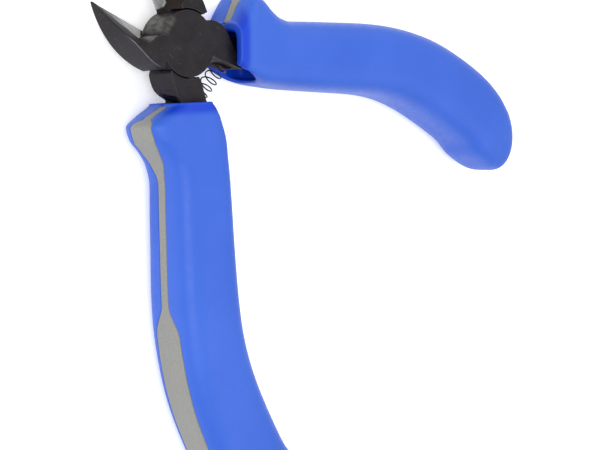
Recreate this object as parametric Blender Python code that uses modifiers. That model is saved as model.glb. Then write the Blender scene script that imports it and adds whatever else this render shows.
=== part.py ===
"""Small lap-joint diagonal cutters with a return spring and two-part moulded grips.

Row frame: the tool lies flat and half open. +Y points from the joint to the jaws, +X to the right and
+Z out of the front face. The origin is the pivot axis where it leaves the front face of the joint.

Each half is drawn in its own closed-tool plane: "across" runs from the tool's centre line outwards on the
half's own handle side, "along" runs towards the jaws, and height is counted from the middle of the head.
Empties on the pivot axis turn the two halves open.
"""

import math

import bmesh
import bpy
from mathutils import Matrix, Vector

MM = 0.001
SHAPE_NAME = "diagonal_cutters"

# Head
HALF_OPENING = math.radians(21.0)
HEAD_HALF = 3.7 * MM
JOINT_RADIUS = 7.0 * MM
JOINT_SEGMENTS = 64
CLEARANCE = 0.3 * MM
EDGE_HEIGHT = -3.1 * MM
EDGE_GAP = 0.1 * MM

# Jaw: its outer side is an arc, and the cutting edge runs from the joint to the tip
JAW_START = 3.9 * MM
EDGE_ROOT = 7.5 * MM
JAW_TIP = 21.2 * MM
JAW_ARC_CENTRE = (-11.8 * MM, 5.6 * MM)
JAW_ARC_RADIUS = 19.7 * MM
CREST_FALL_START = 12.5 * MM
TIP_THICKNESS = 0.9 * MM
BEVEL_WIDTH = 2.5 * MM
BEVEL_FULL = 9.7 * MM
BEVEL_SLOPE = 0.34

# Where the jaw's flat top begins and how far its outer side leans in, in mm, against the distance from the pivot
CREST_INNER = ((6.0, 1.4), (7.4, 1.6), (8.6, 3.0), (9.7, 5.3), (11.5, 5.4), (13.5, 5.0), (16.0, 4.1), (21.2, 0.3))
JAW_SIDE_LEAN = ((3.9, 0.3), (6.5, 0.4), (11.0, 0.9), (21.2, 0.6))

# Neck outline in the closed tool, in mm: its outer side on either face, and its inner side
NECK_NARROW = ((4.5, -2.2), (6.7, -3.0), (7.25, -3.7), (7.5, -4.8), (7.6, -6.2), (7.45, -7.3), (6.8, -8.6),
               (5.4, -10.4), (3.9, -12.4), (2.5, -14.6))
NECK_WIDE = ((4.5, -2.2), (6.5, -3.0), (7.0, -3.7), (7.1, -4.8), (7.2, -6.2), (7.35, -7.5), (7.5, -8.8), (7.3, -10.3),
             (5.6, -12.6), (3.2, -15.0))
NECK_INNER = ((1.9, -15.5), (1.3, -15.8), (1.05, -15.2), (0.7, -12), (0.4, -9.0), (0.4, -4.0))

# Pivot rivet, blind under the front face
RIVET_RADIUS = 2.4 * MM
RIVET_HEAD_RADIUS = 3.4 * MM
RIVET_HEAD_DEPTH = 1.1 * MM
RIVET_CLEARANCE = 0.08 * MM
RIVET_COVER = 0.9 * MM

# Tang inside the grip
TANG_HALF = 2.6 * MM
TANG_LENGTH = 46.0 * MM
TANG_WIDTHS = (2.6 * MM, 1.7 * MM)

# Return spring and its two blind pockets
SPRING_ALONG = -12.7 * MM
SPRING_MOUTH = 0.9 * MM
SPRING_POCKET_TILT = math.radians(12.0)
SPRING_POCKET_RADIUS = 2.0 * MM
SPRING_POCKET_DEPTH = 3.6 * MM
SPRING_END_GAP = 0.35 * MM
SPRING_WIRE = 0.16 * MM
SPRING_RADIUS = 1.65 * MM
SPRING_TURNS = 10
SPRING_POINTS_A_TURN = 10

# Grip: a spine that leaves the head straight and bends in near its end
SPINE_START = (3.3 * MM, -11.8 * MM)
SPINE_ANGLE = math.radians(22.5)
SPINE_LENGTH = 101.0 * MM
SPINE_BEND = (34.5 * MM, 76.0 * MM, math.radians(24.0))
SPINE_HOOK = (71.0 * MM, math.radians(76.0), 2.15)
END_CAP = 13.2 * MM
GRIP_SIDES = 20
COVER_WALL = 2.4 * MM
CORE_START = 10.5 * MM
CORE_END = 88.0 * MM
RIB_START = 0.5 * MM
RIB_END = 86.0 * MM
MOULD_GAP = 0.2 * MM
MOUTH_HALF = 4.3 * MM
MOUTH_DEPTH = 8.5 * MM

# Grip outline, all in mm: distance down the spine against the distance out to each side
OUTER_SIDE = ((0, 5.8), (1.2, 7.9), (2.6, 10.7), (4.8, 13.5), (7.5, 12.7), (10, 10.5), (13, 8.6), (17, 7.7), (23, 7.9),
              (33, 8.2), (52, 8.8), (66, 9.4), (78, 9.5), (101, 9.0))
INNER_SIDE = ((0, 2.5), (1.0, 3.5), (2, 4.15), (5, 5.4), (9, 6.5), (13, 7.0), (18, 7.4), (33, 7.9), (52, 8.3),
              (66, 8.8), (78, 9.1), (90, 8.6), (101, 8.6))
HALF_DEPTH = ((0, 6.5), (4, 7.0), (13, 7.1), (30, 7.5), (48, 8.0), (101, 8.0))
# How square the section is on each side: the power of its rounded-rectangle outline
OUTER_CORNERS = ((0, 3.6), (6, 3.2), (26, 3.4), (101, 3.3))
INNER_CORNERS = ((0, 6.5), (6, 6.5), (12, 4.6), (20, 3.9), (34, 3.5), (101, 3.3))
# Half width of the grey rib where it shows on the outer side: guard patch, strip and panel
RIB_HALF = ((0, 0.9), (3.0, 1.25), (3.7, 2.7), (4.6, 3.1), (8, 3.2), (12, 2.4), (16.5, 1.15), (42, 1.15), (48, 3.8),
            (60, 4.0), (76, 4.0), (86, 1.2))
# How far the middle of the rib lies towards the front of the tool
RIB_SHIFT = ((0, 1.0), (6.5, 1.0), (11, 0), (90, 0))


def clear_scene():
    for thing in list(bpy.data.objects):
        bpy.data.objects.remove(thing)


def collection(name):
    made = bpy.data.collections.new(name)
    bpy.context.scene.collection.children.link(made)
    return made


def material(name, colour, roughness, metallic):
    made = bpy.data.materials.new(name)
    made.use_nodes = True
    shader = made.node_tree.nodes["Principled BSDF"]
    shader.inputs["Base Color"].default_value = (*colour, 1.0)
    shader.inputs["Roughness"].default_value = roughness
    shader.inputs["Metallic"].default_value = metallic
    return made


def smooth_value(knots, x):
    """Value at x of a smooth curve through the knots that never overshoots between them."""
    xs = [knot[0] for knot in knots]
    ys = [knot[1] for knot in knots]
    if x <= xs[0]:
        return ys[0]
    if x >= xs[-1]:
        return ys[-1]
    slopes = [(ys[i + 1] - ys[i]) / (xs[i + 1] - xs[i]) for i in range(len(xs) - 1)]

    def tangent(i):
        if i in (0, len(xs) - 1):
            return slopes[0] if i == 0 else slopes[-1]
        before, after = slopes[i - 1], slopes[i]
        return 0.0 if before * after <= 0 else 2 * before * after / (before + after)

    i = max(k for k in range(len(xs) - 1) if xs[k] <= x)
    width = xs[i + 1] - xs[i]
    t = (x - xs[i]) / width
    rise = ys[i] * (1 + 2 * t) * (1 - t) ** 2 + ys[i + 1] * t * t * (3 - 2 * t)
    return rise + width * (tangent(i) * t * (1 - t) ** 2 - tangent(i + 1) * t * t * (1 - t))


def at_mm(knots, s):
    return smooth_value(knots, s / MM) * MM


def stations(start, end, count):
    return [start + (end - start) * i / (count - 1) for i in range(count)]


# ---- meshes -------------------------------------------------------------------------------------------------


def finish_mesh(bm, name):
    bmesh.ops.recalc_face_normals(bm, faces=bm.faces)
    mesh = bpy.data.meshes.new(name)
    bm.to_mesh(mesh)
    bm.free()
    return mesh


def loft(name, rings):
    """A closed solid through rings of equal point counts."""
    bm = bmesh.new()
    rows = [[bm.verts.new(point) for point in ring] for ring in rings]
    count = len(rows[0])
    for row, following in zip(rows, rows[1:]):
        for i in range(count):
            j = (i + 1) % count
            bm.faces.new((row[i], row[j], following[j], following[i]))
    bm.faces.new(rows[0][::-1])
    bm.faces.new(rows[-1])
    return finish_mesh(bm, name)


def prism(name, outline, low, high):
    """A flat outline given thickness."""
    curve = bpy.data.curves.new(name, "CURVE")
    curve.dimensions = "2D"
    curve.fill_mode = "BOTH"
    curve.extrude = (high - low) / 2
    spline = curve.splines.new("POLY")
    spline.points.add(len(outline) - 1)
    for point, (x, y) in zip(spline.points, outline):
        point.co = (x, y, 0, 1)
    spline.use_cyclic_u = True
    flat = bpy.data.objects.new(name, curve)
    bpy.context.scene.collection.objects.link(flat)
    bpy.context.view_layer.update()
    mesh = bpy.data.meshes.new_from_object(flat.evaluated_get(bpy.context.evaluated_depsgraph_get()))
    bpy.data.objects.remove(flat)
    bm = bmesh.new()
    bm.from_mesh(mesh)
    bmesh.ops.remove_doubles(bm, verts=bm.verts, dist=1e-7)
    bmesh.ops.translate(bm, verts=bm.verts, vec=(0, 0, (low + high) / 2))
    return finish_mesh(bm, name)


def cylinder(name, radius, low, high, segments=JOINT_SEGMENTS, place=None):
    bm = bmesh.new()
    bmesh.ops.create_cone(
        bm, cap_ends=True, segments=segments, radius1=radius, radius2=radius, depth=high - low,
        matrix=Matrix.Translation((0, 0, (low + high) / 2)),
    )
    if place:
        bmesh.ops.transform(bm, matrix=place, verts=bm.verts)
    return finish_mesh(bm, name)


def boolean(target, other, operation):
    modifier = target.modifiers.new(other.name, "BOOLEAN")
    modifier.object = other
    modifier.operation = operation
    modifier.solver = "EXACT"


class Builder:
    """Makes the objects of one half under its empty. Side is +1 for the front half, whose handle is at +X."""

    def __init__(self, label, side, parts, cutters):
        self.label = label
        self.side = side
        self.parts = parts
        self.cutters = cutters
        self.frame = bpy.data.objects.new(label + "_frame", None)
        self.frame.location = (0, 0, -HEAD_HALF)
        self.frame.rotation_euler = (0, 0, side * HALF_OPENING)
        parts.objects.link(self.frame)

    def place(self, mesh, name, where):
        made = bpy.data.objects.new(name, mesh)
        made.parent = self.frame
        where.objects.link(made)
        return made

    def part(self, mesh, name, look):
        mesh.materials.append(look)
        return self.place(mesh, name, self.parts)

    def helper(self, mesh, name):
        made = self.place(mesh, self.label + "_" + name, self.cutters)
        made.hide_render = True
        made.display_type = "WIRE"
        return made


# ---- shapes of one half -------------------------------------------------------------------------------------


def jaw_outer(along):
    return JAW_ARC_CENTRE[0] + math.sqrt(JAW_ARC_RADIUS**2 - (along - JAW_ARC_CENTRE[1]) ** 2)


def jaw_ring(side, along):
    """Section of the jaw across the tool. The jaw lies on the side away from the half's own handle."""
    outer = jaw_outer(along)
    slimness = min(1.0, outer / (3.0 * MM))
    lean = at_mm(JAW_SIDE_LEAN, along) * slimness
    fall = max(0.0, (along - CREST_FALL_START) / (JAW_TIP - CREST_FALL_START))
    crest = HEAD_HALF - (2 * HEAD_HALF - TIP_THICKNESS) * fall**1.25
    crest_outer = outer - lean
    crest_inner = min(at_mm(CREST_INNER, along), crest_outer - 0.3 * MM * slimness)
    reach = max(0.0, (JAW_TIP - along) / (JAW_TIP - BEVEL_FULL))
    bevel = min(BEVEL_WIDTH * min(reach, 1.0) ** 1.15, crest_inner * 0.9)
    bevel = max(bevel, EDGE_GAP * 1.5)
    bevel_top = min(EDGE_HEIGHT + BEVEL_SLOPE * bevel, crest - 0.05 * MM)
    scoop = (bevel + 0.3 * (crest_inner - bevel), bevel_top + 0.45 * (crest - bevel_top))
    section = [
        (EDGE_GAP, EDGE_HEIGHT),
        (bevel, bevel_top),
        scoop,
        (crest_inner, crest),
        (crest_outer, crest),
        (outer, -HEAD_HALF + 0.35 * MM),
        (outer - 0.3 * MM * slimness, -HEAD_HALF),
        (EDGE_GAP + 0.5 * MM * slimness, -HEAD_HALF),
    ]
    return [(-side * across, along, height) for across, height in section]


def jaw_mesh(side):
    marks = [JAW_START, 5.6 * MM, EDGE_ROOT] + stations(8.6 * MM, JAW_TIP, 11)
    return loft("jaw", [jaw_ring(side, along) for along in marks])


def neck_mesh(side):
    """The full-thickness neck of the half, between the joint and the mouth of its grip.

    The rear half's neck fills the width behind the open joint disc, so its front face is the wider one.
    """
    faces = (NECK_NARROW, NECK_NARROW) if side > 0 else (NECK_NARROW, NECK_WIDE)
    rings = []
    for outer, height in zip(faces, (-HEAD_HALF, HEAD_HALF)):
        rings.append([(side * x * MM, y * MM, height) for x, y in outer + NECK_INNER])
    return loft("neck", rings)


def spine_angle(s):
    start, end, turn = SPINE_BEND
    hook_start, hook_turn, hook_power = SPINE_HOOK
    t = min(max((s - start) / (end - start), 0.0), 1.0)
    angle = SPINE_ANGLE - turn * t * t * (3 - 2 * t)
    hook = max(0.0, (s - hook_start) / (SPINE_LENGTH - hook_start))
    return angle - hook_turn * hook**hook_power


def spine_point(s):
    """Point of the spine at distance s from the mouth, and the unit vector out of the spine, in the plane."""
    x, y = SPINE_START
    steps = max(1, round(abs(s) / (0.5 * MM)))
    step = s / steps
    for i in range(steps):
        angle = spine_angle((i + 0.5) * step)
        x += math.sin(angle) * step
        y -= math.cos(angle) * step
    angle = spine_angle(s)
    return Vector((x, y)), Vector((math.cos(angle), math.sin(angle)))


def cap_factor(s, end, length):
    t = min(max((s - (end - length)) / length, 0.0), 1.0)
    return math.sqrt(max(0.0, 1 - t**2.2))


def oval(side, s, inner, outer, half_depth, sides=GRIP_SIDES):
    """A rounded-rectangle ring square to the spine, reaching inner and outer away from it."""
    centre, normal = spine_point(s)
    outer_power = 2 / smooth_value(OUTER_CORNERS, s / MM)
    inner_power = 2 / smooth_value(INNER_CORNERS, s / MM)
    ring = []
    for i in range(sides):
        angle = 2 * math.pi * (i + 0.5) / sides
        power = outer_power if math.cos(angle) > 0 else inner_power
        wide = math.copysign(abs(math.cos(angle)) ** power, math.cos(angle))
        deep = math.copysign(abs(math.sin(angle)) ** power, math.sin(angle))
        across = (outer - inner) / 2 + wide * (outer + inner) / 2
        point = centre + normal * across
        ring.append((side * point.x, point.y, deep * half_depth))
    return ring


def grip_ring(side, s, inset=0.0, end=SPINE_LENGTH, cap=END_CAP):
    narrow = cap_factor(s, end, cap)
    inner = (at_mm(INNER_SIDE, s) - inset) * narrow
    outer = (at_mm(OUTER_SIDE, s) - inset) * narrow
    return oval(side, s, inner, outer, (at_mm(HALF_DEPTH, s) - inset) * math.sqrt(narrow))


def grip_mesh(side):
    marks = [s * MM for s in (0, 1.2, 2.6, 4.2, 6, 8, 10, 12, 14.5, 18, 24, 31, 38, 44, 49, 54, 60, 66, 72, 78, 83)]
    marks += [SPINE_LENGTH - END_CAP * fraction for fraction in (0.98, 0.72, 0.5, 0.32, 0.17, 0.07, 0.012)]
    return loft("grip", [grip_ring(side, s) for s in marks])


def core_mesh(side, grow):
    """The core's sleeve. Its ends stop short of the mouth and of the grip's end."""
    inset = COVER_WALL - grow
    start = CORE_START - grow
    end = CORE_END + grow
    marks = stations(start, end, 14)
    rings = []
    for s in marks:
        side_reach = min(at_mm(OUTER_SIDE, s), at_mm(INNER_SIDE, max(s, 16 * MM)) + 0.6 * MM) - inset
        inner = min(at_mm(INNER_SIDE, s), 8.6 * MM) - inset
        shrink = cap_factor(s, end + 6 * MM, 12 * MM)
        rings.append(oval(side, s, inner * shrink, side_reach * shrink, (at_mm(HALF_DEPTH, s) - inset) * shrink, 16))
    return loft("core", rings)


def rib_mesh(side, grow):
    """The rib that rises from the core through the outer side of the grip. It is cut flush later."""
    marks = [s * MM for s in (1.5, 3.0, 3.7, 4.6, 6, 8, 10, 12, 14.5, 16.5, 42, 45, 48, 54, 60, 68, 76, 80, 83)]
    marks = [RIB_START - grow] + marks + [RIB_END + grow]
    rings = []
    for s in marks:
        centre, normal = spine_point(s)
        half = at_mm(RIB_HALF, s) + grow
        middle = at_mm(RIB_SHIFT, s)
        foot = smooth_value(((0, 5.4), (3, 6.4), (8, 6.4), (12, 4.0), (90, 4.0)), s / MM) * MM - grow
        head = at_mm(OUTER_SIDE, s) + 1.5 * MM
        low = centre + normal * foot
        high = centre + normal * head
        rings.append([
            (side * low.x, low.y, middle - half), (side * high.x, high.y, middle - half),
            (side * high.x, high.y, middle + half), (side * low.x, low.y, middle + half),
        ])
    return loft("rib", rings)


def tang_outline(side, grow):
    """The thin tang that runs from the neck down inside the core."""
    start = -4.0 * MM
    inner, outer = [], []
    for s in stations(start, TANG_LENGTH + grow, 14):
        centre, normal = spine_point(s)
        t = min(max(s / TANG_LENGTH, 0.0), 1.0)
        half = TANG_WIDTHS[0] + (TANG_WIDTHS[1] - TANG_WIDTHS[0]) * t + grow
        lean = 1.0 * MM * max(0.0, 1 - max(s, 0.0) / (12 * MM))
        inner.append(centre + normal * (lean - half))
        outer.append(centre + normal * (lean + half))
    return [(side * point.x, point.y) for point in inner + outer[::-1]]


def mouth_outline(side):
    """The recess at the mouth, open towards the tool's centre line."""
    corners = ((-3.0, 4.8), (4.0, 4.6), (8.5, 3.4), (10.8, 1.5), (10.8, -2.5), (MOUTH_DEPTH / MM, -6.0), (6.4, -12.0),
               (-3.0, -12.0))
    outline = []
    for s, across in corners:
        centre, normal = spine_point(s * MM)
        point = centre + normal * (across * MM)
        outline.append((side * point.x, point.y))
    return outline


def pocket_matrix(side):
    """Places a cylinder drawn along +Z into the neck from its inner side."""
    direction = Vector((side * math.cos(SPRING_POCKET_TILT), -math.sin(SPRING_POCKET_TILT), 0))
    turn = direction.to_track_quat("Z", "Y").to_matrix().to_4x4()
    return Matrix.Translation((side * SPRING_MOUTH, SPRING_ALONG, 0)) @ turn


# ---- pieces -------------------------------------------------------------------------------------------------


def forged_half(make, name, steel):
    """One half of the tool: jaw, half of the lap joint, neck and tang in one forging."""
    side = make.side
    half = make.part(jaw_mesh(side), name, steel)
    neck = make.helper(neck_mesh(side), "neck")
    boolean(half, neck, "UNION")
    tang = make.helper(prism("tang", tang_outline(side, 0.0), -TANG_HALF, TANG_HALF), "tang")
    boolean(half, tang, "UNION")
    far_low, far_high = (-2 * HEAD_HALF, CLEARANCE / 2) if side > 0 else (-CLEARANCE / 2, 2 * HEAD_HALF)
    room = make.helper(cylinder("room", JOINT_RADIUS + CLEARANCE, far_low, far_high), "lap_room")
    boolean(half, room, "DIFFERENCE")
    own_low, own_high = (CLEARANCE / 2, HEAD_HALF) if side > 0 else (-HEAD_HALF, -CLEARANCE / 2)
    disc = make.helper(cylinder("disc", JOINT_RADIUS, own_low, own_high), "disc")
    boolean(half, disc, "UNION")
    pocket = cylinder(
        "pocket", SPRING_POCKET_RADIUS, -3 * MM, SPRING_POCKET_DEPTH, segments=24, place=pocket_matrix(side)
    )
    boolean(half, make.helper(pocket, "spring_pocket"), "DIFFERENCE")
    return half


def rivet_holes(front, rear, front_make, rear_make):
    hole = RIVET_RADIUS + RIVET_CLEARANCE
    blind_end = HEAD_HALF - RIVET_COVER + 0.2 * MM
    blind = front_make.helper(cylinder("blind", hole, -2 * HEAD_HALF, blind_end, segments=48), "rivet_hole")
    boolean(front, blind, "DIFFERENCE")
    through = rear_make.helper(cylinder("through", hole, -2 * HEAD_HALF, HEAD_HALF, segments=48), "rivet_hole")
    boolean(rear, through, "DIFFERENCE")
    seat_top = -HEAD_HALF + RIVET_HEAD_DEPTH + RIVET_CLEARANCE
    seat = cylinder("seat", RIVET_HEAD_RADIUS + RIVET_CLEARANCE, -2 * HEAD_HALF, seat_top, segments=48)
    boolean(rear, rear_make.helper(seat, "rivet_seat"), "DIFFERENCE")


def rivet(make, steel):
    """Turned rivet: a flush head at the back and a shank that ends blind under the front face."""
    head_top = -HEAD_HALF + RIVET_HEAD_DEPTH
    shank_top = HEAD_HALF - RIVET_COVER
    profile = (
        (0, shank_top), (RIVET_RADIUS, shank_top), (RIVET_RADIUS, head_top), (RIVET_HEAD_RADIUS, head_top),
        (RIVET_HEAD_RADIUS, -HEAD_HALF), (0, -HEAD_HALF),
    )
    bm = bmesh.new()
    points = [bm.verts.new((x, 0, z)) for x, z in profile]
    for first, second in zip(points, points[1:]):
        bm.edges.new((first, second))
    mesh = bpy.data.meshes.new("rivet")
    bm.to_mesh(mesh)
    bm.free()
    made = make.part(mesh, "pivot_rivet", steel)
    turn = made.modifiers.new("turn", "SCREW")
    turn.axis = "Z"
    turn.steps = 48
    turn.render_steps = 48
    turn.use_merge_vertices = True
    turn.merge_threshold = 0.00001
    return made


def return_spring(make, steel):
    """Compression coil between the bottoms of the two pockets. It lies straight across the tool."""
    reach = SPRING_POCKET_DEPTH - SPRING_END_GAP - SPRING_WIRE
    opened = Matrix.Rotation(HALF_OPENING, 2)
    mouth = opened @ Vector((SPRING_MOUTH, SPRING_ALONG))
    inwards = opened @ Vector((math.cos(SPRING_POCKET_TILT), -math.sin(SPRING_POCKET_TILT)))
    end = Vector(((mouth + inwards * reach).x, (mouth + inwards * reach * 0.5).y))
    steps = int(SPRING_TURNS * SPRING_POINTS_A_TURN)
    curve = bpy.data.curves.new("return_spring", "CURVE")
    curve.dimensions = "3D"
    curve.bevel_depth = SPRING_WIRE
    curve.bevel_resolution = 1
    curve.use_fill_caps = True
    spline = curve.splines.new("POLY")
    spline.points.add(steps)
    for i, point in enumerate(spline.points):
        turn = -2 * math.pi * i / SPRING_POINTS_A_TURN
        x = end.x * (1 - 2 * i / steps)
        y = end.y + SPRING_RADIUS * math.cos(turn)
        point.co = (x, y, -HEAD_HALF + SPRING_RADIUS * math.sin(turn), 1)
    curve.materials.append(steel)
    made = bpy.data.objects.new("return_spring", curve)
    make.parts.objects.link(made)
    return made


def grip(make, core_name, cover_name, grey, blue):
    """The hard core on the tang with its visible rib, and the soft cover moulded round them."""
    side = make.side
    core = make.part(core_mesh(side, 0.0), core_name, grey)
    boolean(core, make.helper(rib_mesh(side, 0.0), "rib"), "UNION")
    boolean(core, make.helper(grip_mesh(side), "grip_form"), "INTERSECT")
    socket_half = TANG_HALF + MOULD_GAP
    socket = make.helper(prism("socket", tang_outline(side, MOULD_GAP), -socket_half, socket_half), "tang_socket")
    boolean(core, socket, "DIFFERENCE")

    cover = make.part(grip_mesh(side), cover_name, blue)
    boolean(cover, make.helper(core_mesh(side, MOULD_GAP), "core_room"), "DIFFERENCE")
    boolean(cover, make.helper(rib_mesh(side, MOULD_GAP), "rib_room"), "DIFFERENCE")
    mouth = prism("mouth", mouth_outline(side), -MOUTH_HALF, MOUTH_HALF)
    boolean(cover, make.helper(mouth, "mouth_room"), "DIFFERENCE")
    boolean(cover, socket, "DIFFERENCE")


def main():
    clear_scene()
    bpy.context.scene.unit_settings.scale_length = 1.0
    parts = collection(SHAPE_NAME)
    cutters = collection("cutters")
    forged = material("forged_steel", (0.045, 0.04, 0.045), 0.42, 0.85)
    wire = material("spring_steel", (0.03, 0.03, 0.032), 0.35, 0.9)
    grey = material("grey_core", (0.36, 0.35, 0.33), 0.5, 0.0)
    blue = material("blue_cover", (0.06, 0.17, 0.78), 0.38, 0.0)
    front_make = Builder("front", 1, parts, cutters)
    rear_make = Builder("rear", -1, parts, cutters)
    front = forged_half(front_make, "front_half", forged)
    rear = forged_half(rear_make, "rear_half", forged)
    rivet_holes(front, rear, front_make, rear_make)
    rivet(front_make, forged)
    return_spring(front_make, wire)
    grip(front_make, "grip_core_front", "grip_cover_front", grey, blue)
    grip(rear_make, "grip_core_rear", "grip_cover_rear", grey, blue)


main()
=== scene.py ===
"""Small diagonal cutters with moulded grips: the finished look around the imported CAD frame.

The pieces end up in metres, in the CAD frame. Their shapes are worked out in millimetres, with height counted from
the middle of the head. Each half is drawn as it lies in the closed tool and then turned open about the pivot.
"""

import math
from types import SimpleNamespace

import bmesh
import bpy
import numpy as np
from mathutils import Matrix, Vector


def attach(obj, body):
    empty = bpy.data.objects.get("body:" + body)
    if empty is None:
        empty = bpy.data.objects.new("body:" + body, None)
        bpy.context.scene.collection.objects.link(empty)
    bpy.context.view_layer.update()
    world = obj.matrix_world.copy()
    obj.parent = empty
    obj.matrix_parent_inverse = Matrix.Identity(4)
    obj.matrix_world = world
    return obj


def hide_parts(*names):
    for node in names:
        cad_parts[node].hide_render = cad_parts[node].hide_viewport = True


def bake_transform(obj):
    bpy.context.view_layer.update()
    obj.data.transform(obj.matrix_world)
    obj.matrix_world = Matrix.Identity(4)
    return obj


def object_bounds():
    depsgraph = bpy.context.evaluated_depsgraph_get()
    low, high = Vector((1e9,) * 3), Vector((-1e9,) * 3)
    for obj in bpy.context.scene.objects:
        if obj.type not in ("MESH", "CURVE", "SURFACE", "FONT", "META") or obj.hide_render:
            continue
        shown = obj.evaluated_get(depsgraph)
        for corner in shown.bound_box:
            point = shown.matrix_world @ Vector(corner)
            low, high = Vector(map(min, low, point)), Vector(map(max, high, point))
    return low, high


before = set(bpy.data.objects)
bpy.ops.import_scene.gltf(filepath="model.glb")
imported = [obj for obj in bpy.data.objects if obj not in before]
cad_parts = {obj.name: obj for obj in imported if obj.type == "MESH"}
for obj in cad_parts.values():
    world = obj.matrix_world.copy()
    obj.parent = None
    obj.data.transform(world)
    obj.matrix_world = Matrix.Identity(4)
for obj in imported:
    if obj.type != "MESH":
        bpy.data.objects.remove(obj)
CAD_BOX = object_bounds()
MM = 0.001

# Head, in mm and degrees. Along runs from the pivot to the tip, across runs out from the cutting edge.
HALF_OPENING = 21.0
HEAD_HALF = 3.7
JOINT_RADIUS = 7.0
CLEARANCE = 0.3
LAP_GAP = 0.05
EDGE_HEIGHT = -3.1
EDGE_GAP = 0.1
JAW_START = 3.9
EDGE_ROOT = 7.5
JAW_TIP = 21.2
JAW_ARC = (-11.8, 5.6, 19.7)  # middle across, middle along, radius
CREST_FALL_START = 12.5
TIP_THICKNESS = 0.9
BEVEL_WIDTH = 2.5
BEVEL_FULL = 9.7
BEVEL_SLOPE = 0.34
CREST_INNER = ((6.0, 1.4), (7.4, 1.6), (8.6, 3.0), (9.7, 5.3), (11.5, 5.4), (13.5, 5.0), (16.0, 4.1), (21.2, 0.3))
JAW_SIDE_LEAN = ((3.9, 0.3), (6.5, 0.4), (11.0, 0.9), (21.2, 0.6))
NECK_NARROW = ((4.5, -2.2), (6.7, -3.0), (7.25, -3.7), (7.5, -4.8), (7.6, -6.2), (7.45, -7.3), (6.8, -8.6),
               (5.4, -10.4), (3.9, -12.4), (2.5, -14.6))
NECK_WIDE = ((4.5, -2.2), (6.5, -3.0), (7.0, -3.7), (7.1, -4.8), (7.2, -6.2), (7.35, -7.5), (7.5, -8.8),
             (7.3, -10.3), (5.6, -12.6), (3.2, -15.0))
NECK_INNER = ((1.9, -15.5), (1.3, -15.8), (1.05, -15.2), (0.7, -12), (0.4, -9.0), (0.4, -4.0))
RIVET_RADIUS = 2.4
RIVET_HEAD_RADIUS = 3.4
RIVET_HEAD_DEPTH = 1.1
RIVET_CLEARANCE = 0.08
RIVET_END = -0.9
TANG_HALF = 2.6
TANG_START = -4.0
TANG_SHOWN = 9.0
TANG_LEAN_END = 12.0
BEYOND_HEAD = 8.0
FORGED_VOXEL = 0.13

# The rim of the joint, ground away beside the cutting edges, in degrees and mm
SHOULDER_START = (72, 90)
SHOULDER_END = (111, 123)
SHOULDER_ROLL = 1.5
RIM_ROLL = 0.05

# Paint on the forgings, with painted shade and painted highlights among it. Each pair is where a fade starts and
# where it is complete, in mm.
BEVEL_PAINT_UNDER = (-0.25, -0.1)
BEVEL_PAINT_ROOT = (0.2, 0.6)
BEVEL_PAINT_WIDTH = (0.15, 0.4)
BEVEL_PAINT_INSIDE = (0.0, 0.16)
BEVEL_PAINT_TOP = (0.2, 0.4)
BEVEL_DIMS_ALONG = (10.5, 18.5)
BEVEL_DIM_TIP = 0.55
BEVEL_DIM_INSIDE = 0.3
BEVEL_SHARE_REAR = 0.62
# Painted shade in the scoop at the jaw's root, on the end of the neck and under the heel
SCOOP_SHADE_ALONG = (6.6, 7.6)
SCOOP_SHADE_ENDS = (10.0, 12.5)
SCOOP_SHADE_ACROSS = (-0.2, 0.3)
SCOOP_SHADE_INSIDE = (0.0, 0.3)
SCOOP_SHADE_UNDER_CREST = (-0.6, -0.1)
FACET_HEIGHT = (-1.4, -0.2)
FACET_ENDS = (8.5, 9.3)
NECK_SHADE_ALONG = (9.6, 10.6)
NECK_SHADE_ACROSS = (-4.0, -2.8)
NECK_SHADE_TOP = (3.15, 3.4)
HEEL_ACROSS = (2.0, 3.0)
HEEL_ENDS = (4.1, 4.4)
HEEL_TOP = (3.4, 3.6)
HEEL_SHARE = 0.8
TANG_PAINT_ALONG = (8.3, 8.8)
TANG_PAINT_ACROSS = (2.2, 2.8)
TANG_PAINT_DEEP = (2.7, 2.8)
SHOULDER_PAINT_FROM = (-1.9, -0.7)
SHOULDER_PAINT_TO = (0.4, 0.6)
# A thin painted highlight along the crest's outer edge
CREASE_BESIDE = (0.05, 0.15)
CREASE_HEIGHT = (-0.24, -0.12)
CREASE_ALONG = (4.2, 6.0)
CREASE_ENDS = (12.0, 15.5)
# The wide band along that edge where the edge lightening is held back
BAND_BESIDE = (0.5, 0.9)
BAND_HEIGHT = (-1.4, -0.8)
BAND_ALONG = (3.5, 4.5)
BAND_KEEPS = 0.15
# Edges that stand out are lighter: real wear and a painted edge highlight
EDGE_STANDS_OUT = (0.035, 0.10)
WEAR_AND_HIGHLIGHT_SHARE = 0.55

# Return spring
SPRING_ALONG = -12.7
SPRING_MOUTH = 0.9
SPRING_TILT = math.radians(12.0)
SPRING_POCKET = (2.0, 3.6)  # radius, depth
POCKET_LEAD = 3.0
SPRING_END_GAP = 0.35
SPRING_WIRE = 0.15
SPRING_RADIUS = 1.65
SPRING_TURNS = 10.0
SPRING_CLOSED = 0.09
SPRING_CLOSED_PITCH = 0.45
STEPS_A_TURN = 36
WIRE_SIDES = 12

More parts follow.
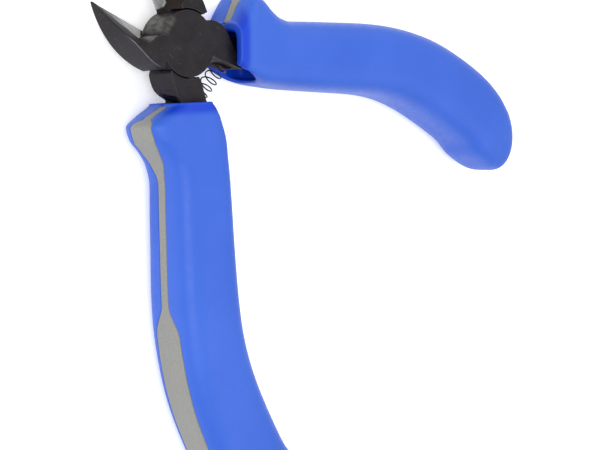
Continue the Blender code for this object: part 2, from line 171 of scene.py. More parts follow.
# Grip. The pairs give a size against the distance s along the spine from the mouth.
SPINE_START = (3.3, -11.8)
SPINE_ANGLE = math.radians(22.5)
SPINE_LENGTH = 101.0
SPINE_LEAD = 12.0
SPINE_STEP = 0.1
SPINE_BEND = (34.5, 76.0, math.radians(24.0))  # start, end, turn
SPINE_HOOK = (71.0, math.radians(76.0), 2.15)  # start, turn, power
END_CAP = 13.2
CAP_POWER = 2.2
OUTER_SIDE = ((0, 5.8), (1.2, 7.9), (2.6, 10.7), (4.8, 13.5), (7.5, 12.7), (10, 10.5), (13, 8.6), (17, 7.7),
              (23, 7.9), (33, 8.2), (52, 8.8), (66, 9.4), (78, 9.5), (101, 9.0))
INNER_SIDE = ((0, 2.5), (1.0, 3.5), (2, 4.15), (5, 5.4), (9, 6.5), (13, 7.0), (18, 7.4), (33, 7.9), (52, 8.3),
              (66, 8.8), (78, 9.1), (90, 8.6), (101, 8.6))
HALF_DEPTH = ((0, 6.5), (4, 7.0), (13, 7.1), (30, 7.5), (48, 8.0), (101, 8.0))
OUTER_CORNERS = ((0, 3.6), (6, 3.2), (26, 3.4), (101, 3.3))
INNER_CORNERS = ((0, 6.5), (6, 6.5), (12, 4.6), (20, 3.9), (34, 3.5), (101, 3.3))
RIB_HALF = ((0.5, 0.9), (3.0, 1.25), (3.7, 2.7), (4.6, 3.1), (8, 3.2), (12, 2.4), (16.5, 1.15), (42, 1.15),
            (48, 3.8), (60, 4.0), (76, 4.0), (86, 1.2))
RIB_SHIFT = ((0, 1.0), (6.5, 1.0), (11, 0), (90, 0))
RIB_ENDS = (0.5, 86.0)
RIB_END_ROUND = 1.2
RIB_LEAST = 0.1

# The channel that the rib lies in
CHANNEL_DEPTH = 0.8
CHANNEL_GAP = 0.1
CHANNEL_WIDEST = 0.75  # of the depth that the outline has next to the inner side
CHANNEL_LIP = 0.16
CHANNEL_ACROSS = np.array([0.0, 0.35, 0.7, 1.0, 1.0, 1.0, 1.0])
CHANNEL_DOWN = np.array([CHANNEL_DEPTH] * 4 + [0.44, 0.13, 0.03])
LIP_STEP = 0.05
PLAIN_HALF = 0.2
PLAIN_STEP = 0.1
INLAY_GAP = 0.02
INLAY_ROUND = 0.2
INLAY_PROUD = 0.01
INLAY_DEPTH = 0.7

# The mouth of the grip
RIM = 0.5
MOUTH_WALL = 0.9
MOUTH_FLOOR = 9.5
MOUTH_MIDDLE = 2.0
MOUTH_ROOM_MIDDLE = 1.2
MOUTH_ROOM = (4.7, 9.0, 4.6)  # outwards, inwards, deep
MOUTH_CORNERS = 5
NOTCH_DEPTH = 7.6
NOTCH_HALF = 6.2
NOTCH_POWER = 2.6
NOTCH_FADE = (0.2, 2.2)
NOTCH_BLEND = 18.0
LIP_SHARES = (0.03, 0.1, 0.2, 0.35, 0.6, 0.82, 0.94, 1.0)
WALL_SHARES = (0.35, 0.7, 0.93)
FLOOR_SHARES = (0.92, 0.5, 0.15)
LIP_ROWS = 5
# How strong the painted shade is on the lip and round the rim, and where it fades
LIP_TONE = 0.7
RIM_TONE = 0.95
RIM_TONE_DEEP = (2.5, 5.0)
RIM_TONE_ENDS = (1.4, 3.0)
RIM_TONE_INSIDE = (-6.5, -2.0)

# Camera: its place in metres, and the directions to its right and upwards
CAMERA_PLACE = (-0.14109, 0.12309, 0.22672)
CAMERA_RIGHT = (0.49449, -0.52369, 0.69371)
CAMERA_UP = (0.75741, 0.65115, -0.04834)
LENS = 84.0
SENSOR = 36.0


# ---- curves -------------------------------------------------------------------------------------------------


def smooth(knots, x):
    """Values at x of a smooth curve through the knots that never overshoots between them."""
    xs, ys = np.array(knots, float).T
    slope = np.diff(ys) / np.diff(xs)
    tangent = np.concatenate([slope[:1], np.zeros(len(xs) - 2), slope[-1:]])
    before, after = slope[:-1], slope[1:]
    same = before * after > 0
    tangent[1:-1][same] = (2 * before * after)[same] / (before + after)[same]
    x = np.clip(np.asarray(x, float), xs[0], xs[-1])
    i = np.clip(np.searchsorted(xs, x, "right") - 1, 0, len(xs) - 2)
    width = xs[i + 1] - xs[i]
    t = (x - xs[i]) / width
    rise = ys[i] * (1 + 2 * t) * (1 - t) ** 2 + ys[i + 1] * t * t * (3 - 2 * t)
    return rise + width * (tangent[i] * t * (1 - t) ** 2 - tangent[i + 1] * t * t * (1 - t))


def fade_in(x, start, full):
    """0 up to start, then smoothly up to 1 at full."""
    t = np.clip((x - start) / (full - start), 0, 1)
    return t * t * (3 - 2 * t)


def fade_out(x, last, gone):
    """1 up to last, then smoothly down to 0 at gone."""
    return fade_in(-x, -gone, -last)


def spine_angle(s):
    start, end, turn = SPINE_BEND
    hook_start, hook_turn, hook_power = SPINE_HOOK
    bend = SPINE_ANGLE - turn * fade_in(s, start, end)
    return bend - hook_turn * np.clip((s - hook_start) / (SPINE_LENGTH - hook_start), 0, None) ** hook_power


def spine_table():
    """Distances along the grip's spine, and where they are in the closed tool."""
    s = np.arange(-SPINE_LEAD, SPINE_LENGTH + 1, SPINE_STEP)
    middle = spine_angle(s[:-1] + SPINE_STEP / 2)
    x = np.concatenate([[0], np.cumsum(np.sin(middle) * SPINE_STEP)])
    y = np.concatenate([[0], np.cumsum(-np.cos(middle) * SPINE_STEP)])
    x += SPINE_START[0] - np.interp(0, s, x)
    y += SPINE_START[1] - np.interp(0, s, y)
    return s, x, y


SPINE = spine_table()


def spine_at(s):
    """Points of the spine and its outward directions, in the closed tool."""
    angle = spine_angle(s)
    return np.interp(s, SPINE[0], SPINE[1]), np.interp(s, SPINE[0], SPINE[2]), np.cos(angle), np.sin(angle)


def open_out(points, side):
    """From the closed tool, in mm, to the CAD frame in metres. Side is +1 for the front half, -1 for the rear."""
    points = np.asarray(points, float)
    turn = math.radians(side * HALF_OPENING)
    x, y = side * points[..., 0], points[..., 1]
    turned = np.stack([x * math.cos(turn) - y * math.sin(turn), x * math.sin(turn) + y * math.cos(turn),
                       points[..., 2] - HEAD_HALF], axis=-1)
    return turned * MM


def close_up(points, side):
    """The way back from open_out."""
    points = np.asarray(points, float) / MM
    turn = math.radians(side * HALF_OPENING)
    x, y = points[..., 0], points[..., 1]
    back_x, back_y = x * math.cos(turn) + y * math.sin(turn), -x * math.sin(turn) + y * math.cos(turn)
    return np.stack([side * back_x, back_y, points[..., 2] + HEAD_HALF], axis=-1)


# ---- meshes -------------------------------------------------------------------------------------------------


def new_object(name, points, faces):
    mesh = bpy.data.meshes.new(name)
    mesh.from_pydata([tuple(p) for p in points], [], faces)
    mesh.validate()
    made = bpy.data.objects.new(name, mesh)
    bpy.context.scene.collection.objects.link(made)
    mesh.update()
    return made


def face_out(made):
    """Turns every face outwards and shades it smooth."""
    bm = bmesh.new()
    bm.from_mesh(made.data)
    bmesh.ops.recalc_face_normals(bm, faces=bm.faces)
    bm.to_mesh(made.data)
    bm.free()
    made.data.polygons.foreach_set("use_smooth", [True] * len(made.data.polygons))


def loft(name, rings):
    """A closed solid through an array of rings, rows x count x 3."""
    rings = np.asarray(rings, float)
    rows, count = rings.shape[:2]
    faces = []
    for low in range(0, (rows - 1) * count, count):
        for i in range(count):
            j = (i + 1) % count
            faces.append((low + i, low + j, low + count + j, low + count + i))
    faces.append(tuple(range(count))[::-1])
    faces.append(tuple(range((rows - 1) * count, rows * count)))
    made = new_object(name, rings.reshape(-1, 3), faces)
    face_out(made)
    return made


def apply_modifiers(made):
    graph = bpy.context.evaluated_depsgraph_get()
    mesh = bpy.data.meshes.new_from_object(made.evaluated_get(graph))
    made.modifiers.clear()
    made.data = mesh


def boolean(target, other, operation):
    modifier = target.modifiers.new("cut", "BOOLEAN")
    modifier.object = other
    modifier.operation = operation
    modifier.solver = "EXACT"
    bpy.context.view_layer.update()
    apply_modifiers(target)
    bpy.data.objects.remove(other)


def vertex_places(mesh):
    values = np.empty(len(mesh.vertices) * 3, np.float32)
    mesh.vertices.foreach_get("co", values)
    return values.reshape(-1, 3).astype(float)


def vertex_normals(mesh):
    values = np.empty(len(mesh.vertices) * 3, np.float32)
    mesh.vertex_normals.foreach_get("vector", values)
    return values.reshape(-1, 3).astype(float)


def add_mask(mesh, name, values):
    layer = mesh.attributes.new(name, "FLOAT", "POINT")
    layer.data.foreach_set("value", np.clip(values, 0, 1).astype(np.float32))


def standing_out(mesh, rounds=6):
    """How far each point stands out from its neighbours' mean, in mm: high on outside edges, low in corners."""
    points = vertex_places(mesh) / MM
    normals = vertex_normals(mesh)
    edges = np.empty(len(mesh.edges) * 2, np.int32)
    mesh.edges.foreach_get("vertices", edges)
    a, b = edges.reshape(-1, 2).T
    degree = np.bincount(np.concatenate([a, b]), minlength=len(points))[:, None]
    softened = points.copy()
    for _ in range(rounds):
        total = np.zeros_like(softened)
        for axis in range(3):
            total[:, axis] += np.bincount(a, softened[b, axis], len(points))
            total[:, axis] += np.bincount(b, softened[a, axis], len(points))
        softened = (softened + total) / (1 + degree)
    return ((points - softened) * normals).sum(1)


# ---- forged halves ------------------------------------------------------------------------------------------


def jaw_outer(along):
    x, y, radius = JAW_ARC
    return x + np.sqrt(radius**2 - (along - y) ** 2)


def jaw_lines(along):
    """The lines of the jaw's section at a distance from the pivot.

    The crest is the front face, which falls away to the tip.
    The bevel is the ground strip beside the cutting edge.
    """
    outer = jaw_outer(along)
    slimness = np.minimum(1.0, outer / 3.0)
    lean = smooth(JAW_SIDE_LEAN, along) * slimness
    fall = np.clip((along - CREST_FALL_START) / (JAW_TIP - CREST_FALL_START), 0, None)
    crest = HEAD_HALF - (2 * HEAD_HALF - TIP_THICKNESS) * fall**1.25
    crest_outer = outer - lean
    crest_inner = np.minimum(smooth(CREST_INNER, along), crest_outer - 0.3 * slimness)
    reach = np.clip((JAW_TIP - along) / (JAW_TIP - BEVEL_FULL), 0, 1)
    bevel = np.maximum(np.minimum(BEVEL_WIDTH * reach**1.15, crest_inner * 0.9), EDGE_GAP * 1.5)
    bevel_top = np.minimum(EDGE_HEIGHT + BEVEL_SLOPE * bevel, crest - 0.05)
    return SimpleNamespace(outer=outer, slimness=slimness, crest=crest, crest_outer=crest_outer,
                           crest_inner=crest_inner, bevel=bevel, bevel_top=bevel_top)


def jaw_solid(side):
    rings = []
    for along in np.concatenate([[JAW_START, 4.7, 5.6, 6.5], np.linspace(7.2, JAW_TIP, 44)]):
        jaw = jaw_lines(along)
        scoop_across = jaw.bevel + 0.3 * (jaw.crest_inner - jaw.bevel)
        scoop_height = jaw.bevel_top + 0.45 * (jaw.crest - jaw.bevel_top)
        section = [
            (EDGE_GAP, EDGE_HEIGHT), (jaw.bevel, jaw.bevel_top), (scoop_across, scoop_height),
            (jaw.crest_inner, jaw.crest), (jaw.crest_outer, jaw.crest), (jaw.outer, -HEAD_HALF + 0.35),
            (jaw.outer - 0.3 * jaw.slimness, -HEAD_HALF), (EDGE_GAP + 0.5 * jaw.slimness, -HEAD_HALF),
        ]
        rings.append([(-across, along, height) for across, height in section])
    return loft("jaw", open_out(rings, side))


def neck_solid(side):
    back, front = (NECK_NARROW, NECK_NARROW) if side > 0 else (NECK_NARROW, NECK_WIDE)
    rings = []
    for outline, height in ((back, -HEAD_HALF), (front, HEAD_HALF)):
        rings.append([(x, y, height) for x, y in outline + NECK_INNER])
    return loft("neck", open_out(rings, side))


def tang_solid(side):
    s = np.linspace(TANG_START, TANG_SHOWN, 20)
    x, y, out_x, out_y = spine_at(s)
    lean = np.clip(1 - np.clip(s, 0, None) / TANG_LEAN_END, 0, None)
    corners = []
    for across, deep in ((-1, -1), (-1, 1), (1, 1), (1, -1)):
        reach = lean + across * TANG_HALF
        corners.append(np.stack([x + out_x * reach, y + out_y * reach, np.full_like(s, deep * TANG_HALF)], -1))
    return loft("tang", open_out(np.stack(corners, axis=1), side))


def disc_solid(name, radius, low, high, side, segments=160):
    """A round solid about the pivot, between two heights."""
    turn = np.linspace(0, 2 * np.pi, segments, endpoint=False)
    circle = [radius * np.cos(turn), radius * np.sin(turn)]
    rings = [np.column_stack(circle + [np.full(segments, height)]) for height in (low, high)]
    return loft(name, open_out(rings, side))


def pocket_solid(side, segments=64):
    """The room for one end of the spring, from outside the neck to the pocket's floor."""
    radius, depth = SPRING_POCKET
    turn = np.linspace(0, 2 * np.pi, segments, endpoint=False)
    mouth = np.array([SPRING_MOUTH, SPRING_ALONG, 0])
    inwards = np.array([math.cos(SPRING_TILT), -math.sin(SPRING_TILT), 0])
    sideways = np.array([math.sin(SPRING_TILT), math.cos(SPRING_TILT), 0])
    circle = radius * (np.cos(turn)[:, None] * sideways + np.sin(turn)[:, None] * [0, 0, 1])
    rings = [mouth + distance * inwards + circle for distance in (-POCKET_LEAD, depth)]
    return loft("pocket", open_out(rings, side))


def forged_half(name, side):
    half = jaw_solid(side)
    half.name = half.data.name = name
    boolean(half, neck_solid(side), "UNION")
    boolean(half, tang_solid(side), "UNION")
    other_lap = (-BEYOND_HEAD, LAP_GAP) if side > 0 else (-LAP_GAP, BEYOND_HEAD)
    boolean(half, disc_solid("room", JOINT_RADIUS + CLEARANCE, *other_lap, side), "DIFFERENCE")
    own_lap = (LAP_GAP, HEAD_HALF) if side > 0 else (-HEAD_HALF, -LAP_GAP)
    boolean(half, disc_solid("disc", JOINT_RADIUS, *own_lap, side), "UNION")
    boolean(half, pocket_solid(side), "DIFFERENCE")
    if side < 0:
        hole_end = -HEAD_HALF + RIVET_HEAD_DEPTH
        hole = disc_solid("hole", RIVET_HEAD_RADIUS + RIVET_CLEARANCE, -BEYOND_HEAD, hole_end, side)
        boolean(half, hole, "DIFFERENCE")
    remesh = half.modifiers.new("remesh", "REMESH")
    remesh.mode = "VOXEL"
    remesh.voxel_size = FORGED_VOXEL * MM
    remesh.use_smooth_shade = True
    round_off = half.modifiers.new("round_off", "SMOOTH")
    round_off.factor = 0.5
    round_off.iterations = 2
    bpy.context.view_layer.update()
    apply_modifiers(half)
    if side > 0:
        soften_shoulder(half.data)
    face_out(half)
    paint_forging(half.data, side)
    return half


def shoulder_window(points):
    """1 on the part of the joint that was ground away beside the cutting edges, fading to 0 round the joint."""
    angle = np.degrees(np.arctan2(points[:, 1], points[:, 0]))
    return fade_in(angle, *SHOULDER_START) * fade_out(angle, *SHOULDER_END)


def soften_shoulder(mesh):
    """Rolls the front rim of the joint over where it was ground."""
    points = vertex_places(mesh) / MM
    window = shoulder_window(points)
    radius = RIM_ROLL + SHOULDER_ROLL * window
    out = np.hypot(points[:, 0], points[:, 1])
    past, up = out - (JOINT_RADIUS - radius), points[:, 2] + radius
    reach = np.hypot(past, up)
    moved = (past > 0) & (up > 0) & (reach > radius) & (out < JOINT_RADIUS + 0.25) & (window > 0.01)
    pull = np.where(moved, radius / np.maximum(reach, 1e-6), 1.0)
    new_out = np.where(moved, (JOINT_RADIUS - radius) + past * pull, out)
    points[:, :2] *= (new_out / np.maximum(out, 1e-6))[:, None]
    points[:, 2] = np.where(moved, up * pull - radius, points[:, 2])
    mesh.vertices.foreach_set("co", (points * MM).astype(np.float32).ravel())
    mesh.update()


def bevel_paint(jaw, across, along, height):
    """1 on the ground strip beside the cutting edge."""
    paint = fade_out(across - jaw.bevel, *BEVEL_PAINT_INSIDE) * fade_in(height - EDGE_HEIGHT, *BEVEL_PAINT_UNDER)
    paint *= fade_in(along - EDGE_ROOT, *BEVEL_PAINT_ROOT) * fade_in(jaw.bevel, *BEVEL_PAINT_WIDTH)
    return paint * fade_out(height - jaw.bevel_top, *BEVEL_PAINT_TOP)


def scoop_shade_paint(jaw, across, along, height):
    """Painted shade: 1 in the scoop between the bevel and the crest, near the joint."""
    paint = fade_in(across, *SCOOP_SHADE_ACROSS) * fade_out(across - jaw.crest_inner, *SCOOP_SHADE_INSIDE)
    paint *= fade_in(along, *SCOOP_SHADE_ALONG) * fade_out(along, *SCOOP_SHADE_ENDS)
    return paint * fade_out(height - jaw.crest, *SCOOP_SHADE_UNDER_CREST)


def wear_and_highlight_paint(mesh, jaw, across, along, height):
    """Worn edges with painted edge highlights, and one thin painted highlight along the crest's outer edge in
    place of a wide lighter band.
    """
    beside = np.abs(across - jaw.crest_outer)
    crease = fade_out(beside, *CREASE_BESIDE) * fade_in(height - jaw.crest, *CREASE_HEIGHT)
    crease *= fade_in(along, *CREASE_ALONG) * fade_out(along, *CREASE_ENDS)
    band = fade_out(beside, *BAND_BESIDE) * fade_in(height - jaw.crest, *BAND_HEIGHT) * fade_in(along, *BAND_ALONG)
    worn_and_lit = fade_in(standing_out(mesh), *EDGE_STANDS_OUT) * (1 - (1 - BAND_KEEPS) * band)
    return np.maximum(WEAR_AND_HIGHLIGHT_SHARE * worn_and_lit, crease)


def paint_forging(mesh, side):
    """Masks for the ground cutting bevel, the ground shoulder, painted shade in the hollows and on the tang, and
    the worn edges with painted edge highlights.
    """
    points = vertex_places(mesh)
    local = close_up(points, side)
    across, along, height = -local[:, 0], local[:, 1], local[:, 2]
    jaw = jaw_lines(np.clip(along, JAW_START, JAW_TIP))

    bevel = bevel_paint(jaw, across, along, height)
    inside = 1 - BEVEL_DIM_INSIDE * np.clip(across / np.maximum(jaw.bevel, 0.1), 0, 1)
    to_tip = 1 - BEVEL_DIM_TIP * fade_in(along, *BEVEL_DIMS_ALONG)
    add_mask(mesh, "ground", (1.0 if side > 0 else BEVEL_SHARE_REAR) * bevel * inside * to_tip)

    # Painted shade in the scoop, on the neck's end and under the heel; the facet takes the filed paint instead
    scoop_shade = scoop_shade_paint(jaw, across, along, height) * (1 - bevel)
    facet = scoop_shade * fade_in(height, *FACET_HEIGHT) * fade_out(along, *FACET_ENDS) * (side > 0)
    neck_end = fade_in(-along, *NECK_SHADE_ALONG) * fade_in(across, *NECK_SHADE_ACROSS)
    neck_end *= fade_out(height, *NECK_SHADE_TOP)
    heel = fade_in(across, *HEEL_ACROSS) * fade_out(along, *HEEL_ENDS) * fade_out(height, *HEEL_TOP)
    add_mask(mesh, "hollow", np.maximum(scoop_shade * (1 - facet), np.maximum(neck_end, HEEL_SHARE * heel)))

    row = points / MM
    past_rim = np.hypot(row[:, 0], row[:, 1]) - JOINT_RADIUS
    shoulder = shoulder_window(row) * fade_in(past_rim, *SHOULDER_PAINT_FROM)
    shoulder *= fade_out(past_rim, *SHOULDER_PAINT_TO)
    add_mask(mesh, "shoulder", np.maximum(shoulder, facet))

    # Painted shade on the tang beside the grip's mouth
    tang = fade_in(-along, *TANG_PAINT_ALONG) * fade_in(-across, *TANG_PAINT_ACROSS)
    add_mask(mesh, "tang", tang * fade_out(np.abs(height), *TANG_PAINT_DEEP))
    # Worn edges and painted edge highlights
    add_mask(mesh, "wear_and_highlight", wear_and_highlight_paint(mesh, jaw, across, along, height))


# ---- rivet and spring ---------------------------------------------------------------------------------------


def rivet(segments=96):
    """The peened head, flush at the back, with a fine chamfer round it and a slight dome."""
    back = -2 * HEAD_HALF
    under_head = back + RIVET_HEAD_DEPTH
    dome = [(0.02, back + 0.005), (1.2, back + 0.01), (2.4, back + 0.02), (3.1, back + 0.04), (3.3, back + 0.08)]
    head = [(RIVET_HEAD_RADIUS, back + 0.2), (RIVET_HEAD_RADIUS, under_head)]
    shank = [(RIVET_RADIUS, under_head + 0.05), (RIVET_RADIUS, RIVET_END), (0.02, RIVET_END)]
    turn = np.linspace(0, 2 * np.pi, segments, endpoint=False)
    rings = []
    for radius, height in dome + head + shank:
        rings.append(np.column_stack([radius * np.cos(turn), radius * np.sin(turn), np.full(segments, height)]))
    return loft("rivet_turned", np.array(rings) * MM)


def spring():
    """The coil with closed ends, from the floor of one pocket to the other. Also gives its half length in mm."""
    turned = Matrix.Rotation(math.radians(HALF_OPENING), 2)
    mouth = turned @ Vector((SPRING_MOUTH, SPRING_ALONG))
    inwards = turned @ Vector((math.cos(SPRING_TILT), -math.sin(SPRING_TILT)))
    reach = SPRING_POCKET[1] - SPRING_END_GAP - SPRING_WIRE
    end_x = (mouth + inwards * reach).x
    axis_y = (mouth + inwards * reach * 0.5).y
    u = np.linspace(0, 1, int(SPRING_TURNS * STEPS_A_TURN) + 1)
    closed_length = SPRING_CLOSED * SPRING_CLOSED_PITCH
    advance = np.interp(u, [0, SPRING_CLOSED, 1 - SPRING_CLOSED, 1], [0, closed_length, 1 - closed_length, 1])
    turn = -2 * np.pi * SPRING_TURNS * u
    line = np.stack([end_x * (1 - 2 * advance), axis_y + SPRING_RADIUS * np.cos(turn),
                     -HEAD_HALF + SPRING_RADIUS * np.sin(turn)], -1)
    forward = np.gradient(line, axis=0)
    forward /= np.linalg.norm(forward, axis=1)[:, None]
    radial = np.stack([np.zeros_like(turn), np.cos(turn), np.sin(turn)], -1)
    radial -= (radial * forward).sum(1)[:, None] * forward
    radial /= np.linalg.norm(radial, axis=1)[:, None]
    sideways = np.cross(forward, radial)
    around = np.linspace(0, 2 * np.pi, WIRE_SIDES, endpoint=False)
    wire = radial[:, None] * np.cos(around)[None, :, None] + sideways[:, None] * np.sin(around)[None, :, None]
    return loft("spring_coil", (line[:, None] + wire * SPRING_WIRE) * MM), end_x


# ---- grips --------------------------------------------------------------------------------------------------


def cap_factor(s):
    """How much of its width the grip keeps at s, where it rounds off to its end."""
    t = np.clip((s - (SPINE_LENGTH - END_CAP)) / END_CAP, 0, 1)
    return np.sqrt(np.clip(1 - t**CAP_POWER, 0, None))


def half_section(s, samples=700):
    """Half of the grip's outline at s, from the middle of its outer side over the front to its inner side.

    Returns reach out from the spine, height, and length along the outline, all in mm.
    """
    inner, outer, depth = (float(smooth(k, s)) for k in (INNER_SIDE, OUTER_SIDE, HALF_DEPTH))
    narrow = float(cap_factor(s))
    inner, outer, depth = inner * narrow, outer * narrow, depth * math.sqrt(narrow)
    angle = np.linspace(0, np.pi, samples)
    power = np.where(angle < np.pi / 2, 2 / float(smooth(OUTER_CORNERS, s)), 2 / float(smooth(INNER_CORNERS, s)))
    wide = np.sign(np.cos(angle)) * np.abs(np.cos(angle)) ** power
    deep = np.abs(np.sin(angle)) ** power
    reach = (outer - inner) / 2 + wide * (outer + inner) / 2
    height = deep * depth
    length = np.concatenate([[0], np.cumsum(np.hypot(np.diff(reach), np.diff(height)))])
    return reach, height, length


def rib_half(s, toward):
    """How far the grey rib reaches from the middle, to the front (toward +1) or the back (-1).

    It runs out to nothing in a rounded end.
    """
    tail = np.clip((RIB_ENDS[1] - s) / RIB_END_ROUND, 0, 1)
    half = smooth(RIB_HALF, s) * np.sqrt(1 - (1 - tail) ** 2)
    return np.maximum(half + toward * smooth(RIB_SHIFT, s), RIB_LEAST)


def grip_columns(count=46):
    """Fractions of the way round from the rib to the inner side's middle, close together next to the rib."""
    beside_rib = [0, 0.004, 0.012, 0.026]
    return np.concatenate([beside_rib, np.linspace(0.045, 1, count - len(beside_rib))])


def section_points(s, fractions, toward):
    """Half a ring of the cover at s: the channel's floor and wall, then the outline round to the inner side."""
    reach, height, length = half_section(s)
    quarter = len(height) // 2
    in_rib = RIB_ENDS[0] < s < RIB_ENDS[1]
    half = float(rib_half(s, toward)) if in_rib else PLAIN_HALF
    wall = min(half + CHANNEL_GAP, CHANNEL_WIDEST * height[quarter - 5])
    first = np.interp(wall + (CHANNEL_LIP if in_rib else PLAIN_STEP), height[:quarter], length[:quarter])
    along = first + (length[-1] - first) * fractions
    if in_rib:
        low_heights = CHANNEL_ACROSS * wall
        low_heights[-1] += LIP_STEP
        down = CHANNEL_DOWN
    else:
        low_heights = np.linspace(0, 1, len(CHANNEL_ACROSS)) * wall
        down = 0.0
    low_reach = np.interp(low_heights, height[:quarter], reach[:quarter]) - down
    return (np.concatenate([low_reach, np.interp(along, length, reach)]),
            np.concatenate([low_heights, np.interp(along, length, height)]))


def place_ring(reach, height, s, side):
    """Ring points from reach and height, with s given once or for each point, turned into the CAD frame."""
    s = np.broadcast_to(s, np.shape(reach))
    x, y, out_x, out_y = spine_at(s)
    return open_out(np.stack([x + out_x * reach, y + out_y * reach, height], -1), side)


def body_stations():
    """Where the rows of the cover and the inlay lie between the mouth and the rib's end."""
    return list(np.arange(2.7, 4.9, 0.15)) + list(np.arange(5.0, 20, 0.5)) + list(np.arange(20, 84, 1.0))


def cover_stations():
    start, end = RIB_ENDS
    mouth = [0.0, 0.25, start - 0.02, start + 0.02, 0.9, 1.3, 1.8, 2.3]
    tail = [84.4, 84.8, 85.1, 85.4, 85.65, 85.85, end - 0.02, end + 0.02, 86.5, 87.2]
    theta = np.linspace(0.12, 0.5 * np.pi, 22)[:-1]
    cap = SPINE_LENGTH - END_CAP + END_CAP * (np.sin(theta) ** 2) ** (1 / CAP_POWER)
    return np.array(mouth + body_stations() + tail + [s for s in cap if s > 87.6] + [SPINE_LENGTH - 0.01])


def mouth_inside(reach, height):
    """The cavity's outline beside each point of the outer outline at the mouth."""
    toward = np.stack([reach - MOUTH_ROOM_MIDDLE, height], -1)
    limit_out, limit_in, limit_deep = MOUTH_ROOM
    room_out = limit_out - MOUTH_ROOM_MIDDLE
    out = np.where(toward[:, 0] > 0, toward[:, 0] / room_out, -toward[:, 0] / limit_in)
    deep = np.abs(toward[:, 1]) / limit_deep
    scale = np.maximum((out**MOUTH_CORNERS + deep**MOUTH_CORNERS) ** (1 / MOUTH_CORNERS), 1e-6)
    length = np.linalg.norm(toward, axis=1)
    keep = np.minimum(np.linalg.norm(toward / scale[:, None], axis=1), length - MOUTH_WALL)
    scaled = toward / length[:, None] * keep[:, None]
    return scaled[:, 0] + MOUTH_ROOM_MIDDLE, scaled[:, 1]


def cover_rows(toward):
    """Rows of points over the front (toward +1) or back half of the cover, from the mouth's floor to the end.

    Each row holds reach, height and s for every column. Also gives how many of the rows lie inside the mouth.
    """
    fractions = grip_columns()
    base = cover_stations()
    rings = np.array([section_points(s, fractions, toward) for s in base])
    reach, height = rings[:, 0], rings[:, 1]

    def outline(at):
        columns = range(len(at))
        return (np.array([np.interp(at[k], base, reach[:, k]) for k in columns]),
                np.array([np.interp(at[k], base, height[:, k]) for k in columns]))

    # The notch at the mouth moves the start of each column down the inner side.
    at_rib_end = len(CHANNEL_ACROSS) + 1
    inner_part = fade_in(-reach[at_rib_end], *NOTCH_FADE)
    notch = np.clip(1 - (np.abs(height[at_rib_end]) / NOTCH_HALF) ** NOTCH_POWER, 0, None) ** 0.5
    start = NOTCH_DEPTH * notch * inner_part
    rim = start + RIM
    outside = []
    for s in base:
        at = rim + s * (NOTCH_BLEND - rim) / NOTCH_BLEND if s < NOTCH_BLEND else np.full(len(rim), s)
        outside.append((*outline(at), at))
    rim_reach, rim_height = outline(rim)
    in_reach, in_height = mouth_inside(rim_reach, rim_height)
    distance = np.hypot(in_reach - rim_reach, in_height - rim_height)
    inside = []
    for u in LIP_SHARES:
        near = np.clip(1 - np.minimum(u, 1 - u) * distance / RIM, 0, 1)
        inside.append((rim_reach + (in_reach - rim_reach) * u, rim_height + (in_height - rim_height) * u,
                       start + RIM * (1 - np.sqrt(1 - near**2))))
    for share in WALL_SHARES:
        inside.append((in_reach, in_height, rim + (MOUTH_FLOOR - rim) * share))
    for shrink in FLOOR_SHARES:
        inside.append((MOUTH_MIDDLE + (in_reach - MOUTH_MIDDLE) * shrink, in_height * shrink,
                       np.full(len(start), MOUTH_FLOOR)))
    return inside[::-1] + outside, len(inside)


def grip_cover(name, side):
    """The soft cover with its channel and its hollow mouth.

    A mask marks the painted shade, a deeper blue, in the mouth and round it.
    """
    front_rows, inside_count = cover_rows(1)
    back_rows = cover_rows(-1)[0]
    points, tones = [], []
    for row, (front, back) in enumerate(zip(front_rows, back_rows)):
        reach, height, s = [np.concatenate([f, sign * b[-2:0:-1]]) for f, b, sign in zip(front, back, (1, -1, 1))]
        points.append(place_ring(reach, height, s, side))
        # Painted shade: full on the mouth's walls and floor, lighter on the lip, fading round the rim outside
        if row < inside_count:
            tones.append(np.full(len(s), 1.0 if row < inside_count - LIP_ROWS else LIP_TONE))
        else:
            tone = fade_in(np.abs(height), *RIM_TONE_DEEP) * fade_out(s, *RIM_TONE_ENDS)
            tones.append(RIM_TONE * tone * fade_in(reach, *RIM_TONE_INSIDE))
    made = loft(name, points)
    add_mask(made.data, "inside", np.concatenate(tones))
    return made


def inlay_edge(s, toward, height, reach):
    """The inlay's top from its middle to one edge, rounded there, and the wall below: reach and height in mm."""
    half = max(float(rib_half(s, toward)) - INLAY_GAP, RIB_LEAST - 0.01)
    round_edge = min(INLAY_ROUND, half * 0.6)
    flat = half - round_edge
    across = np.concatenate([np.array([0.0, 0.3, 0.6, 0.82]) * flat,
                             [flat, half - 0.4 * round_edge, half - 0.1 * round_edge, half, half]])
    down = np.array([0, 0, 0, 0, 0.005, 0.03, 0.09, 0.2, 0.68])
    return np.interp(across, height, reach) - down + INLAY_PROUD, toward * across


def grip_inlay(name, side):
    """The grey rib, flush in its channel, with softly rounded edges."""
    start, end = RIB_ENDS
    tail = [84.3, 84.7, 85.0, 85.3, 85.55, 85.75, end - 0.12]
    rings = []
    for s in np.concatenate([np.linspace(start + 0.1, 2.6, 10), body_stations(), tail]):
        reach, height, _ = half_section(s)
        quarter = len(height) // 2
        reach, height = reach[:quarter], height[:quarter]
        front_reach, front_height = inlay_edge(s, 1, height, reach)
        back_reach, back_height = inlay_edge(s, -1, height, reach)
        base_reach = np.interp(0.0, height, reach) - INLAY_DEPTH
        ring_reach = np.concatenate([front_reach, [base_reach], back_reach[:0:-1]])
        ring_height = np.concatenate([front_height, [0.0], back_height[:0:-1]])
        rings.append(place_ring(ring_reach, ring_height, s, side))
    return loft(name, rings)


# ---- materials ----------------------------------------------------------------------------------------------


